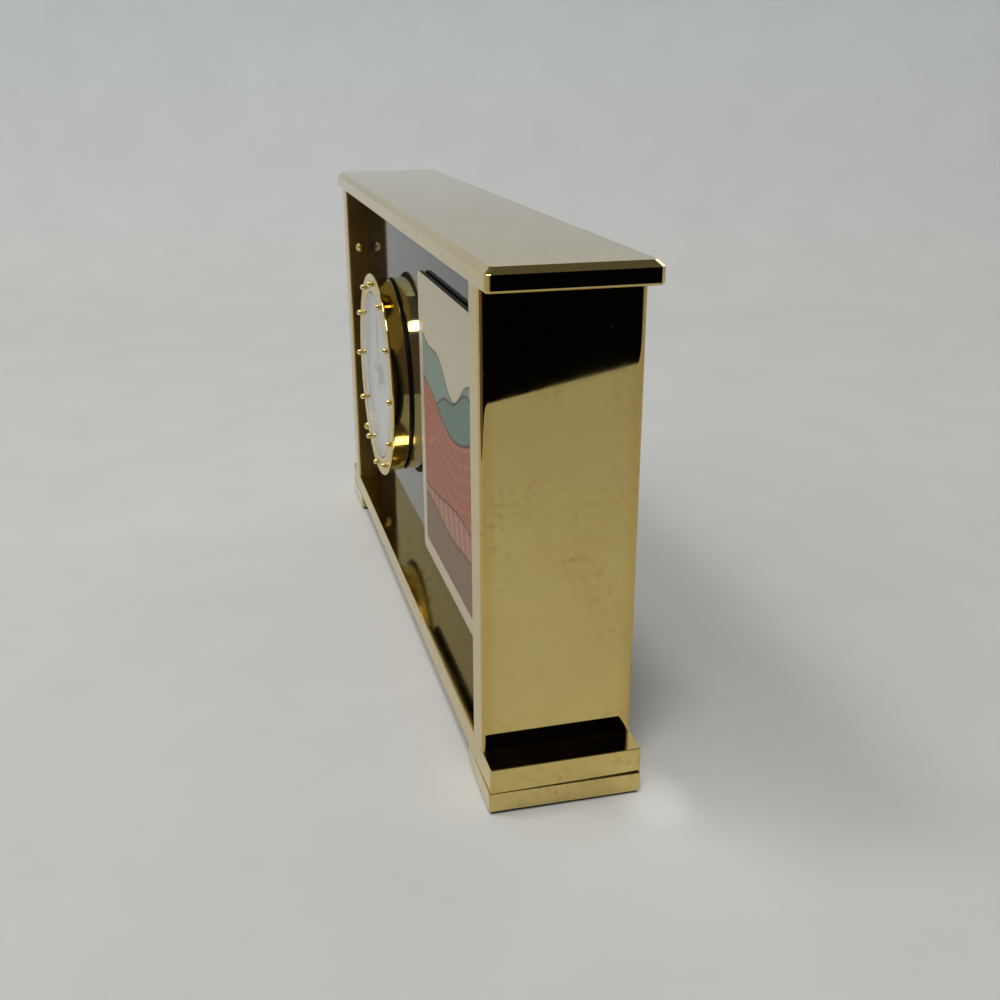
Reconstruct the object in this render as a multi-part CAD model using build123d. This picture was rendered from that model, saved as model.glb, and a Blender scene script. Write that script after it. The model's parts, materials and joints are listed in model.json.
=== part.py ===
from build123d import *
import os
from math import atan2, cos, degrees, radians, sin

# Frame: +X towards the right end, -Y towards the front, +Z up, origin under the middle
side_span = 140.0  # over the outer faces of the side plates
side_thick = 6.2
side_height = 72.5
side_round = 1.0
frame_depth = 24.4
cap_ledge = 5.5  # cap past a side plate
cap_overhang = 0.4  # cap past the front and the back
cap_edge = 2.5  # upright band round the cap
cap_bevel = 0.95  # 45 degree slope above the band
cap_under_edge = 0.4
cap_corner = 0.5
base_ledge = 5.0  # base past a side plate
base_thick = 4.2
base_edge = 0.3
foot_tuck = 3.4  # foot past the inner face of a side plate
foot_overhang = 0.1  # foot past the front and the back
foot_height = 3.3
foot_reach = 0.2  # foot past the end of the base
foot_edge = 0.3
right_foot_turn = -1.05  # degrees about its bolt, as the bar stands
felt_thick = 0.5
felt_inset = 0.4

# Bolts, dowels and studs of the frame
bolt_dia = 3.0
bolt_head_dia = 5.5
bolt_head_height = 2.0
bolt_bite = 2.1  # thread in the cap
head_sink = 0.3  # head below the foot's underside
hole_clear = 0.1  # round a bolt or a head
dowel_dia = 2.0
dowel_bite = 2.0  # in the base or the cap
dowel_seat = 4.0  # in the side plate
dowel_spread = 16.0
stud_head_dia = 2.3
stud_head_height = 1.0
stud_shank_dia = 1.2
stud_shank_length = 2.5
stud_from_end = 13.5
stud_gap = 0.85  # head to panel

# Panels and picture
panel_recess = 4.8
panel_thick = 3.0
panel_clear = 0.1
rear_recess = 4.65
rear_thick = 2.0
rear_opening_clear = 0.5  # round the rear end of the cup
spacer_dia = 6.0
spacer_inset = 8.0  # from the panel's edges
rear_screw_dia = 2.5
rear_screw_length = 8.0
rear_head_dia = 4.6
rear_head_height = 1.4
picture_margin = 8.45  # to the base and the cap, before it is raised
picture_rise = 0.7  # above the middle of the opening
picture_gap = 6.75  # from the middle of the panel
picture_side_gap = 8.55  # to the side plate
picture_thick = 0.85
picture_corner = 1.5
pad_thick = 0.3
pad_inset = 1.2

# Drum and what closes it in front
drum_drop = 1.0  # clock axis below the middle of the opening
drum_sink = 0.45  # bezel behind the frame's front
drum_dia = 45.2  # over the flange round the bezel
flange_thick = 0.6
flange_step = 1.1  # flange past the drum's body
flange_edge = 0.2
drum_wall = 1.0
drum_edge = 0.35
bezel_thick = 0.9
bezel_width = 4.0
ball_dia = 1.35
ball_seat = 0.15  # flat where a ball sits on the bezel
hours = 12
insert_turn = 1.9  # clockwise, as the insert sits in the panel
crystal_thick = 0.7
crystal_inset = 0.05
crystal_clear = 0.05
hand_room = 1.4
dial_thick = 0.4
dial_clear = 0.1
gasket_thick = 0.3
gasket_inset = 0.8

# Cup behind the panel
neck_inset = 4.6  # from the drum's outside
neck_wall = 1.1
neck_clear = 0.15
cup_depth = 11.2  # from the back of the dial
shoulder_width = 1.0
shoulder_thick = 0.8
clamp_width = 2.6
clamp_thick = 2.0
rear_cap_thick = 1.5
rear_cap_plug = 1.2
plug_wall = 1.0

# Lengths that the ones above settle
base_length = side_span + 2 * base_ledge
cap_length = side_span + 2 * cap_ledge
cap_depth = frame_depth + 2 * cap_overhang
foot_depth = frame_depth + 2 * foot_overhang
foot_length = foot_reach + base_ledge + side_thick + foot_tuck
opening_width = side_span - 2 * side_thick
picture_width = opening_width / 2 - picture_gap - picture_side_gap
picture_height = side_height - 2 * picture_margin
half_spacing = picture_gap + picture_width / 2  # clock axis and picture centre from the middle
drum_radius = drum_dia / 2 - flange_step
bezel_bore = drum_dia - 2 * bezel_width
ball_circle = drum_dia - bezel_width
neck_dia = drum_dia - 2 * neck_inset
rear_opening_dia = neck_dia + 2 * rear_opening_clear

# Movement, which grows with the neck that it fits in
insert_unit = neck_dia / 36
plate_thick = 0.8
plate_clear = 0.1
wheel_thick = 0.8
end_shake = 0.3  # along an arbor, between wheels and plates
gear_module = 0.4 * insert_unit
mesh_clear = 0.06
cannon_teeth = 10
idler_teeth = 30
idler_pinion_teeth = 8
hour_teeth = 32
set_teeth = 10
tooth_share = 0.84  # of half the pitch, which leaves the play
run_clear = 0.05  # radial, shaft in hole
centre_arbor_dia = 1.5 * insert_unit
hour_pipe_wall = 0.5 * insert_unit
idler_arbor_dia = 1.0 * insert_unit
set_shaft_dia = 2.0 * insert_unit
pillar_dia = 2.4 * insert_unit
pillar_circle = 27.0 * insert_unit
pillars = 3
knob_dia = 8.0 * insert_unit
knob_length = 3.0
knob_gap = 0.4
knob_flutes = 20
flute_depth = 0.25

# Hands, shown at nine o'clock
minute_angle = 0.0
hour_angle = 270.0
hand_thick = 0.2
hand_step = 0.25  # dial to hour hand, and hour hand to minute hand
minute_hand_length = 15.5 * insert_unit
minute_hand_width = 0.9 * insert_unit
hour_hand_length = 9.0 * insert_unit
hour_hand_width = 1.8 * insert_unit
hand_tail = 3.2 * insert_unit
hub_rim = 0.9 * insert_unit

# Drive and power
drive_width = 7.0 * insert_unit
drive_height = 7.0 * insert_unit
drive_thick = 4.0
coil_length = 9.4 * insert_unit
coil_dia = 4.4 * insert_unit
coil_flange = 0.7 * insert_unit
core_size = 1.2 * insert_unit
coil_across = 5.3 * insert_unit
coil_up = 9.0 * insert_unit
stator_thick = 0.8
lug_width = 1.6 * insert_unit
board_width = 8.0 * insert_unit
board_height = 9.0 * insert_unit
board_thick = 0.8
board_across = -8.0 * insert_unit
board_up = -5.5 * insert_unit
chip_size = 3.0 * insert_unit
chip_height = 1.0
quartz_dia = 2.0 * insert_unit
quartz_length = 6.0 * insert_unit
battery_dia = 11.6 * insert_unit
battery_thick = 5.4
battery_across = -8.0 * insert_unit
battery_up = 7.0 * insert_unit
contact_thick = 0.3
contact_width = 3.0 * insert_unit
battery_clear = 0.2
lid_rim = 0.9 * insert_unit
lid_clear = 0.1
lid_seat = 0.4
slot_width = 1.6
slot_depth = 0.7

# Heights
base_bottom = felt_thick + foot_height
base_top = base_bottom + base_thick
side_top = base_top + side_height
cap_height = cap_edge + cap_bevel
side_middle = side_span / 2 - side_thick / 2

# Depths, front to back
front = -frame_depth / 2
panel_front = front + panel_recess
panel_back = panel_front + panel_thick
rear_back = -front - rear_recess
rear_front = rear_back - rear_thick
drum_front = front + drum_sink
drum_back = panel_front - gasket_thick
crystal_front = drum_front + crystal_inset
crystal_back = crystal_front + crystal_thick
dial_front = crystal_back + hand_room
dial_back = dial_front + dial_thick
cup_back = dial_back + cup_depth
plate_front = dial_back + plate_clear
plate_back = plate_front + plate_thick
hour_wheel_front = plate_back + end_shake
hour_wheel_back = hour_wheel_front + wheel_thick
idler_front = hour_wheel_back + 1.5 * end_shake
idler_back = idler_front + wheel_thick
train_front = idler_back + 2 * end_shake
train_back = train_front + plate_thick
lid_front = cup_back + lid_seat
rear_cap_back = cup_back + rear_cap_thick
knob_front = rear_cap_back + knob_gap
hour_hand_back = dial_front - hand_step
hour_hand_front = hour_hand_back - hand_thick
minute_hand_back = hour_hand_front - hand_step
minute_hand_front = minute_hand_back - hand_thick

# Clock axis, and places on it in X and Z
clock_x = -half_spacing
clock_z = base_top + side_height / 2 - drum_drop
picture_z = base_top + side_height / 2 + picture_rise
neck_radius = neck_dia / 2
cup_radius = neck_radius - neck_wall
arbor_radius = centre_arbor_dia / 2
pipe_bore = arbor_radius + run_clear
pipe_radius = pipe_bore + hour_pipe_wall
cannon_distance = gear_module * (cannon_teeth + idler_teeth) / 2 + mesh_clear
set_distance = gear_module * (set_teeth + idler_teeth) / 2 + mesh_clear
hour_module = 2 * (cannon_distance - mesh_clear) / (idler_pinion_teeth + hour_teeth)
idler_direction = -90.0  # from the centre arbor
set_direction = 0.0  # from the idler
idler_place = (
    cannon_distance * cos(radians(idler_direction)),
    cannon_distance * sin(radians(idler_direction)),
)
set_place = (
    idler_place[0] + set_distance * cos(radians(set_direction)),
    idler_place[1] + set_distance * sin(radians(set_direction)),
)
battery_place = (battery_across, battery_up)


def block(x0, x1, y0, y1, z0, z1):
    """Box between two corners."""
    return Pos((x0 + x1) / 2, (y0 + y1) / 2, (z0 + z1) / 2) * Box(x1 - x0, y1 - y0, z1 - z0)


def post(radius, z0, z1, x, y):
    """Upright cylinder."""
    return Pos(x, y, (z0 + z1) / 2) * Cylinder(radius, z1 - z0)


def rod(radius, y0, y1, place=(0.0, 0.0)):
    """Cylinder along Y, placed from the clock axis."""
    centre = Pos(clock_x + place[0], (y0 + y1) / 2, clock_z + place[1])
    return centre * Rot(90, 0, 0) * Cylinder(radius, y1 - y0)


def ring(outer, inner, y0, y1, place=(0.0, 0.0)):
    """Tube along Y, placed from the clock axis."""
    return rod(outer, y0, y1, place) - rod(inner, y0, y1, place)


def upright_plane(y, x=0.0, z=0.0):
    """Sketch plane that faces the front, with X to the right and Z up."""
    return Plane(origin=(x, y, z), x_dir=(1, 0, 0), z_dir=(0, -1, 0))


def slab(sketch, y0, y1, x=0.0, z=0.0):
    """Front-facing sketch made as thick as from y0 to y1."""
    return extrude(upright_plane(y1, x, z) * sketch, y1 - y0)


def clock_slab(sketch, y0, y1, place=(0.0, 0.0)):
    """The same, placed from the clock axis."""
    return slab(sketch, y0, y1, clock_x + place[0], clock_z + place[1])


def polar(radius, angle):
    return (radius * cos(radians(angle)), radius * sin(radians(angle)))


def on_both_ends(build):
    """One piece at the left end and one at the right end."""
    return Compound([build(-1), build(1)])


def frame_holes(z0, z1, radius, y_places, end):
    """Upright holes on the middle line of one side plate."""
    return [post(radius, z0, z1, end * side_middle, y) for y in y_places]


def dowel_places():
    return [-dowel_spread / 2, dowel_spread / 2]


def make_top_cap():
    lower = RectangleRounded(cap_length, cap_depth, cap_corner)
    upper = RectangleRounded(cap_length - 2 * cap_bevel, cap_depth - 2 * cap_bevel, cap_corner)
    bevel_bottom = side_top + cap_edge
    cap = extrude(Pos(0, 0, side_top) * lower, cap_edge)
    cap = chamfer(cap.faces().sort_by(Axis.Z)[0].edges(), cap_under_edge)
    cap += loft([Pos(0, 0, bevel_bottom) * lower, Pos(0, 0, side_top + cap_height) * upper], ruled=True)
    for end in (-1, 1):
        cap -= frame_holes(side_top, side_top + bolt_bite, bolt_dia / 2, [0], end)
        cap -= frame_holes(side_top, side_top + dowel_bite, dowel_dia / 2, dowel_places(), end)
    return cap


def make_side_plate(end):
    inner, outer = sorted((end * (side_span / 2 - side_thick), end * side_span / 2))
    plate = block(inner, outer, -frame_depth / 2, frame_depth / 2, base_top, side_top)
    plate = fillet(plate.edges().filter_by(Axis.Z), side_round)
    plate -= frame_holes(base_top, side_top, bolt_dia / 2 + hole_clear, [0], end)
    plate -= frame_holes(base_top, base_top + dowel_seat, dowel_dia / 2, dowel_places(), end)
    plate -= frame_holes(side_top - dowel_seat, side_top, dowel_dia / 2, dowel_places(), end)
    plate -= [stud_shank(end, y, z) for y, z in stud_places()]
    return plate


def make_base_plate():
    outline = RectangleRounded(base_length, frame_depth, base_edge)
    plate = extrude(Pos(0, 0, base_bottom) * outline, base_thick)
    plate = chamfer(plate.faces().sort_by(Axis.Z)[-1].edges(), base_edge / 2)
    for end in (-1, 1):
        plate -= frame_holes(base_bottom, base_top, bolt_dia / 2 + hole_clear, [0], end)
        plate -= frame_holes(base_top - dowel_bite, base_top, dowel_dia / 2, dowel_places(), end)
    return plate


def foot_turn(end):
    """Turn of a foot about its bolt."""
    turn = right_foot_turn if end > 0 else 0.0
    bolt = Pos(end * side_middle, 0, 0)
    return bolt * Rot(0, 0, turn) * bolt.inverse()


def foot_ends(end):
    outer = end * (base_length / 2 + foot_reach)
    return sorted((outer, outer - end * foot_length))


def make_foot(end):
    x0, x1 = foot_ends(end)
    foot = block(x0, x1, -foot_depth / 2, foot_depth / 2, felt_thick, base_bottom)
    foot = fillet(foot.edges().filter_by(Axis.Z), foot_edge)
    foot -= frame_holes(felt_thick, base_bottom, bolt_dia / 2 + hole_clear, [0], end)
    head_top = felt_thick + head_sink + bolt_head_height
    foot -= frame_holes(felt_thick, head_top, bolt_head_dia / 2 + hole_clear, [0], end)
    return foot_turn(end) * foot


def make_foot_felt(end):
    x0, x1 = foot_ends(end)
    depth = foot_depth / 2 - felt_inset
    felt = block(x0 + felt_inset, x1 - felt_inset, -depth, depth, 0, felt_thick)
    felt -= frame_holes(0, felt_thick, bolt_head_dia / 2 + hole_clear, [0], end)
    return foot_turn(end) * felt


def make_tie_bolt(end):
    head_bottom = felt_thick + head_sink
    head_top = head_bottom + bolt_head_height
    head = post(bolt_head_dia / 2, head_bottom, head_top, end * side_middle, 0)
    half_slot = slot_width / 4
    slot = block(-bolt_head_dia, bolt_head_dia, -half_slot, half_slot, 0, head_bottom + slot_depth)
    shank = post(bolt_dia / 2, head_top, side_top + bolt_bite, end * side_middle, 0)
    return head - Pos(end * side_middle, 0, 0) * slot + shank


def make_dowel_pins():
    spans = ((base_top - dowel_bite, base_top + dowel_seat), (side_top - dowel_seat, side_top + dowel_bite))
    pins = []
    for end in (-1, 1):
        for z0, z1 in spans:
            pins += frame_holes(z0, z1, dowel_dia / 2, dowel_places(), end)
    return Compound(pins)


def stud_places():
    """Y and Z of the studs on one side plate: in front of one panel and behind the other."""
    reach = stud_gap + stud_head_dia / 2
    depths = (panel_front - reach, rear_back + reach)
    return [(y, z) for y in depths for z in (base_top + stud_from_end, side_top - stud_from_end)]


def stud_shank(end, y, z):
    face = end * (side_span / 2 - side_thick)
    shank = Rot(0, 90, 0) * Cylinder(stud_shank_dia / 2, stud_shank_length)
    return Pos(face + end * stud_shank_length / 2, y, z) * shank


def make_side_stud(end, y, z):
    """Dome-headed stud pressed into the inner face of a side plate."""
    half = stud_head_dia / 2
    dome_radius = (half**2 + stud_head_height**2) / (2 * stud_head_height)
    drop = dome_radius - stud_head_height
    start = degrees(atan2(drop, half))
    dome = CenterArc((0, -drop), dome_radius, start, 90 - start)
    shank = stud_shank_dia / 2
    sides = Polyline(
        (0, stud_head_height), (0, -stud_shank_length), (shank, -stud_shank_length), (shank, 0), (half, 0)
    )
    stud = revolve(Plane.XZ * make_face([dome, sides]), Axis.Z)
    return Pos(end * (side_span / 2 - side_thick), y, z) * Rot(0, -90 * end, 0) * stud


def make_side_studs():
    return Compound([make_side_stud(end, y, z) for end in (-1, 1) for y, z in stud_places()])


def spacer_places():
    across = opening_width / 2 - spacer_inset
    heights = (base_top + spacer_inset, side_top - spacer_inset)
    return [(x, z) for x in (-across, across) for z in heights]


def upright_rod(radius, y0, y1, x, z):
    return Pos(x, (y0 + y1) / 2, z) * Rot(90, 0, 0) * Cylinder(radius, y1 - y0)


def make_panel(y0, y1):
    """Sheet that stands on the base between the side plates."""
    half = opening_width / 2 - panel_clear
    return block(-half, half, y0, y1, base_top, side_top - panel_clear)


def make_front_panel():
    return make_panel(panel_front, panel_back) - rod(neck_radius + neck_clear, panel_front, panel_back)


def make_rear_panel():
    panel = make_panel(rear_front, rear_back) - rod(rear_opening_dia / 2, rear_front, rear_back)
    hole = rear_screw_dia / 2 + hole_clear
    return panel - [upright_rod(hole, rear_front, rear_back, x, z) for x, z in spacer_places()]


def make_panel_spacers():
    spacers = []
    for x, z in spacer_places():
        body = upright_rod(spacer_dia / 2, panel_back, rear_front, x, z)
        bore = upright_rod(rear_screw_dia / 2, rear_back - rear_screw_length, rear_front, x, z)
        spacers.append(body - bore)
    return Compound(spacers)


def make_rear_screws():
    screws = []
    for x, z in spacer_places():
        head = upright_rod(rear_head_dia / 2, rear_back, rear_back + rear_head_height, x, z)
        head = fillet(head.faces().sort_by(Axis.Y)[-1].edges(), rear_head_height / 2)
        shank = upright_rod(rear_screw_dia / 2, rear_back - rear_screw_length, rear_back, x, z)
        screws.append(head + shank)
    return Compound(screws)


def make_picture_plate():
    back = panel_front - pad_thick
    outline = RectangleRounded(picture_width, picture_height, picture_corner)
    return slab(outline, back - picture_thick, back, half_spacing, picture_z)


def make_picture_pad():
    outline = Rectangle(picture_width - 2 * pad_inset, picture_height - 2 * pad_inset)
    return slab(outline, panel_front - pad_thick, panel_front, half_spacing, picture_z)


def make_drum_case():
    """Open-backed drum with a flange round its front and the bezel's bore."""
    case = rod(drum_radius, drum_front, drum_back)
    case = fillet(case.edges().filter_by(GeomType.CIRCLE).sort_by(Axis.Y)[-1], drum_edge)
    flange = rod(drum_dia / 2, drum_front, drum_front + flange_thick)
    case += fillet(flange.edges().filter_by(GeomType.CIRCLE), flange_edge)
    case -= rod(drum_radius - drum_wall, drum_front + bezel_thick, drum_back)
    return case - rod(bezel_bore / 2, drum_front, drum_front + bezel_thick)


def make_hour_balls():
    radius = ball_dia / 2
    balls = []
    for hour in range(hours):
        u, w = polar(ball_circle / 2, 360 / hours * hour - insert_turn)
        centre_y = drum_front - radius + ball_seat
        ball = Pos(clock_x + u, centre_y, clock_z + w) * Sphere(radius)
        balls.append(ball - rod(radius, drum_front, drum_front + ball_dia, (u, w)))
    return Compound(balls)


def make_crystal():
    return rod(bezel_bore / 2 - crystal_clear, crystal_front, crystal_back)


def make_dial():
    outer = drum_radius - drum_wall - dial_clear
    return ring(outer, pipe_radius + 2 * hole_clear, dial_front, dial_back)


def make_drum_gasket():
    return ring(drum_radius - gasket_inset, neck_radius + neck_clear, drum_back, panel_front)


def make_movement_cup():
    """Cup with a flange in the drum, a neck through the panel and a shoulder for the movement."""
    flange_radius = drum_radius - drum_wall - dial_clear
    cup = rod(flange_radius, dial_back, drum_back) + rod(neck_radius, dial_back, cup_back)
    cup -= rod(cup_radius, dial_back, cup_back)
    return cup + ring(cup_radius, cup_radius - shoulder_width, plate_back, plate_back + shoulder_thick)


def make_clamp_ring():
    """Ring that holds the cup against the back of the panel."""
    clamp = ring(neck_radius + clamp_width, neck_radius + run_clear, panel_back, panel_back + clamp_thick)
    return chamfer(clamp.faces().sort_by(Axis.Y)[-1].edges(), clamp_thick / 4)


def gear_sketch(module, teeth, phase):
    """Gear outline with straight-sided teeth; one tooth points along phase."""
    pitch_radius = module * teeth / 2
    half = 90 / teeth * tooth_share
    corners = [
        (pitch_radius - 1.2 * module, -1.45),
        (pitch_radius + 0.8 * module, -0.5),
        (pitch_radius + 0.8 * module, 0.5),
        (pitch_radius - 1.2 * module, 1.45),
    ]
    points = []
    for tooth in range(teeth):
        middle = phase + 360 / teeth * tooth
        points += [polar(radius, middle + share * half) for radius, share in corners]
    return make_face(Polyline(*points, close=True))


def idler_phase():
    """A gap of the idler faces the tooth that the cannon pinion points at it."""
    return idler_direction + 180 + 180 / idler_teeth


def make_movement_plate():
    plate = rod(cup_radius - plate_clear, plate_front, plate_back)
    plate -= rod(pipe_radius + run_clear, plate_front, plate_back)
    plate -= rod(idler_arbor_dia / 2 + run_clear, plate_front, plate_back, idler_place)
    return plate - rod(set_shaft_dia / 2 + run_clear, plate_front, plate_back, set_place)


def make_train_plate():
    plate = rod(cup_radius - shoulder_width - plate_clear, train_front, train_back)
    plate -= rod(arbor_radius + run_clear, train_front, train_back)
    plate -= rod(idler_arbor_dia / 2 + run_clear, train_front, train_back, idler_place)
    return plate - rod(set_shaft_dia / 2 + run_clear, train_front, train_back, set_place)


def make_plate_pillars():
    places = [polar(pillar_circle / 2, 90 + 360 / pillars * index) for index in range(pillars)]
    return Compound([rod(pillar_dia / 2, plate_back, train_front, place) for place in places])


def make_centre_arbor():
    """Arbor that carries the minute hand, with the cannon pinion behind the hour wheel."""
    pinion = gear_sketch(gear_module, cannon_teeth, idler_direction)
    arbor = rod(arbor_radius, minute_hand_front - hand_thick / 2, train_back + drive_thick / 2)
    return arbor + clock_slab(pinion, idler_front - end_shake / 2, idler_back + end_shake / 2)


def make_hour_wheel():
    """Wheel on a pipe that carries the hour hand."""
    outline = gear_sketch(hour_module, hour_teeth, idler_direction + 180 / hour_teeth)
    wheel = clock_slab(outline, hour_wheel_front, hour_wheel_back)
    wheel += rod(pipe_radius, hour_hand_front, hour_wheel_front)
    return wheel - rod(pipe_bore, hour_hand_front, hour_wheel_back)


def make_idler_wheel():
    """Wheel driven by the cannon pinion, with the pinion that drives the hour wheel."""
    pinion = gear_sketch(hour_module, idler_pinion_teeth, idler_direction + 180)
    wheel = gear_sketch(gear_module, idler_teeth, idler_phase())
    pivot = plate_thick / 4
    idler = rod(idler_arbor_dia / 2, plate_front + pivot, train_back - pivot, idler_place)
    idler += clock_slab(pinion, hour_wheel_front - end_shake / 2, idler_front, idler_place)
    return idler + clock_slab(wheel, idler_front, idler_back, idler_place)


def set_phase():
    """Turned so that a gap takes the idler's nearest tooth."""
    pitch = 360 / idler_teeth
    short_of_line = (set_direction - idler_phase()) % pitch
    return set_direction + 180 + short_of_line * idler_teeth / set_teeth + 180 / set_teeth


def make_set_shaft():
    pinion = gear_sketch(gear_module, set_teeth, set_phase())
    shaft = rod(set_shaft_dia / 2, plate_front + plate_thick / 4, knob_front + knob_length, set_place)
    return shaft + clock_slab(pinion, idler_front - end_shake / 2, idler_back + end_shake / 2, set_place)


def make_set_knob():
    """Fluted knob pressed on the setting shaft."""
    step = 180 / knob_flutes
    radii = (knob_dia / 2, knob_dia / 2 - flute_depth)
    points = [polar(radii[index % 2], step * index) for index in range(2 * knob_flutes)]
    outline = make_face(Polyline(*points, close=True)) - Circle(set_shaft_dia / 2)
    return clock_slab(outline, knob_front, knob_front + knob_length, set_place)


def make_hand(length, width, hub_bore, y0, angle):
    """Tapered baton with a round hub, turned clockwise from twelve."""
    outline = [(-width / 2, -hand_tail), (width / 2, -hand_tail), (width / 3, length), (-width / 3, length)]
    sketch = make_face(Polyline(*outline, close=True)) + Circle(hub_bore + hub_rim) - Circle(hub_bore)
    return clock_slab(Rot(0, 0, -angle - insert_turn) * sketch, y0, y0 + hand_thick)


def make_hour_hand():
    return make_hand(hour_hand_length, hour_hand_width, pipe_radius, hour_hand_front, hour_angle)


def make_minute_hand():
    return make_hand(minute_hand_length, minute_hand_width, arbor_radius, minute_hand_front, minute_angle)


def make_drive_unit():
    """Sealed step motor and its reduction, round the rear end of the centre arbor."""
    outline = RectangleRounded(drive_width, drive_height, drive_height / 6)
    unit = clock_slab(outline, train_back, train_back + drive_thick)
    return unit - rod(arbor_radius + run_clear, train_back, train_back + 0.75 * drive_thick)


def coil_height():
    """Coil axis behind the train plate."""
    return train_back + stator_thick + coil_dia / 2


def clock_block(u0, u1, y0, y1, w0, w1):
    return block(clock_x + u0, clock_x + u1, y0, y1, clock_z + w0, clock_z + w1)


def coil_rod(radius, length):
    place = Pos(clock_x + coil_across, coil_height(), clock_z + coil_up)
    return place * Rot(0, 90, 0) * Cylinder(radius, length)


def make_coil():
    """Winding between two flanges, bored for the core."""
    coil = coil_rod(coil_dia / 2 - coil_flange / 2, coil_length)
    for side in (-1, 1):
        coil += Pos(side * (coil_length - coil_flange) / 2, 0, 0) * coil_rod(coil_dia / 2, coil_flange)
    half = core_size / 2
    bore = clock_block(
        coil_across - coil_length, coil_across + coil_length, coil_height() - half, coil_height() + half,
        coil_up - half, coil_up + half,
    )
    return coil - bore


def make_stator():
    """Soft iron core through the coil, on two lugs with feet towards the drive."""
    half = core_size / 2
    reach = coil_length / 2 + run_clear
    core = clock_block(
        coil_across - reach, coil_across + reach, coil_height() - half, coil_height() + half,
        coil_up - half, coil_up + half,
    )
    foot_end = drive_height / 2 + hole_clear
    for side in (-1, 1):
        u0, u1 = sorted((coil_across + side * reach, coil_across + side * (reach + lug_width)))
        core += clock_block(u0, u1, train_back, coil_height() + half, coil_up - half, coil_up + half)
        core += clock_block(u0, u1, train_back, train_back + stator_thick, foot_end, coil_up + half)
    return core


def board_edges():
    u0, u1 = board_across - board_width / 2, board_across + board_width / 2
    w0, w1 = board_up - board_height / 2, board_up + board_height / 2
    return u0, u1, w0, w1


def make_circuit_board():
    u0, u1, w0, w1 = board_edges()
    return clock_block(u0, u1, train_back, train_back + board_thick, w0, w1)


def make_drive_chip():
    u0, u1, w0, w1 = board_edges()
    y0 = train_back + board_thick
    margin = chip_size / 5
    chip_u = u1 - margin - chip_size
    chip_w = w0 + margin
    return clock_block(chip_u, chip_u + chip_size, y0, y0 + chip_height, chip_w, chip_w + chip_size)


def make_time_crystal():
    """Small can that lies on the circuit board."""
    u0, u1, w0, w1 = board_edges()
    y = train_back + board_thick + quartz_dia / 2
    place = Pos(clock_x + u0 + quartz_dia, y, clock_z + (w0 + w1) / 2)
    return place * Cylinder(quartz_dia / 2, quartz_length)


def battery_front():
    return train_back + contact_thick


def make_battery():
    """Button cell with the step at its negative end."""
    radius = battery_dia / 2
    y0 = battery_front()
    y1 = y0 + battery_thick / 5
    return rod(0.8 * radius, y0, y1, battery_place) + rod(radius, y1, y0 + battery_thick, battery_place)


def make_battery_contacts():
    """Strip under the cell and a leaf against its rim."""
    half = contact_width / 2
    u, w = battery_place
    strip = clock_block(u - half, u + half, train_back, battery_front(), w - battery_dia / 3, w + half)
    rim_u = u + battery_dia / 2
    y1 = battery_front() + battery_thick
    leaf = clock_block(rim_u, rim_u + contact_thick, train_back, y1, w - half, w + half)
    return Compound([strip, leaf])


def lid_radius():
    return battery_dia / 2 + battery_clear + lid_rim


def make_rear_cap():
    """Cap that plugs into the cup, with the seat of the battery cover."""
    plug = cup_radius - plate_clear
    plug_front = cup_back - rear_cap_plug
    cap = rod(neck_radius, cup_back, rear_cap_back) + ring(plug, plug - plug_wall, plug_front, cup_back)
    cap -= rod(battery_dia / 2 + battery_clear, plug_front, rear_cap_back, battery_place)
    cap -= rod(lid_radius() + lid_clear, lid_front, rear_cap_back, battery_place)
    return cap - rod(set_shaft_dia / 2 + run_clear, cup_back, rear_cap_back, set_place)


def make_battery_cover():
    """Round cover with a coin slot and a boss that keeps the cell down."""
    cover = rod(lid_radius(), lid_front, rear_cap_back, battery_place)
    boss_front = battery_front() + battery_thick + run_clear
    cover += rod(battery_dia / 4, boss_front, lid_front, battery_place)
    u, w = battery_place
    reach = 0.7 * lid_radius()
    half = slot_width / 2
    slot_front = rear_cap_back - slot_depth
    return cover - clock_block(u - reach, u + reach, slot_front, rear_cap_back, w - half, w + half)


PIECES = {
    "top_cap": make_top_cap,
    "left_side_plate": lambda: make_side_plate(-1),
    "right_side_plate": lambda: make_side_plate(1),
    "base_plate": make_base_plate,
    "left_foot": lambda: make_foot(-1),
    "right_foot": lambda: make_foot(1),
    "foot_felts": lambda: on_both_ends(make_foot_felt),
    "tie_bolts": lambda: on_both_ends(make_tie_bolt),
    "dowel_pins": make_dowel_pins,
    "side_studs": make_side_studs,
    "front_panel": make_front_panel,
    "rear_panel": make_rear_panel,
    "panel_spacers": make_panel_spacers,
    "rear_screws": make_rear_screws,
    "picture_plate": make_picture_plate,
    "picture_pad": make_picture_pad,
    "drum_case": make_drum_case,
    "hour_balls": make_hour_balls,
    "crystal": make_crystal,
    "dial": make_dial,
    "drum_gasket": make_drum_gasket,
    "movement_cup": make_movement_cup,
    "clamp_ring": make_clamp_ring,
    "movement_plate": make_movement_plate,
    "train_plate": make_train_plate,
    "plate_pillars": make_plate_pillars,
    "centre_arbor": make_centre_arbor,
    "minute_hand": make_minute_hand,
    "hour_wheel": make_hour_wheel,
    "hour_hand": make_hour_hand,
    "idler_wheel": make_idler_wheel,
    "set_shaft": make_set_shaft,
    "set_knob": make_set_knob,
    "drive_unit": make_drive_unit,
    "coil": make_coil,
    "stator": make_stator,
    "circuit_board": make_circuit_board,
    "drive_chip": make_drive_chip,
    "time_crystal": make_time_crystal,
    "battery": make_battery,
    "battery_contacts": make_battery_contacts,
    "rear_cap": make_rear_cap,
    "battery_cover": make_battery_cover,
}

os.makedirs("parts", exist_ok=True)
for name, make in PIECES.items():
    export_step(make(), f"parts/{name}.step")
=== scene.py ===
import json
from math import cos, pi, radians, sin

import bpy
from mathutils import Matrix, Vector


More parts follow.
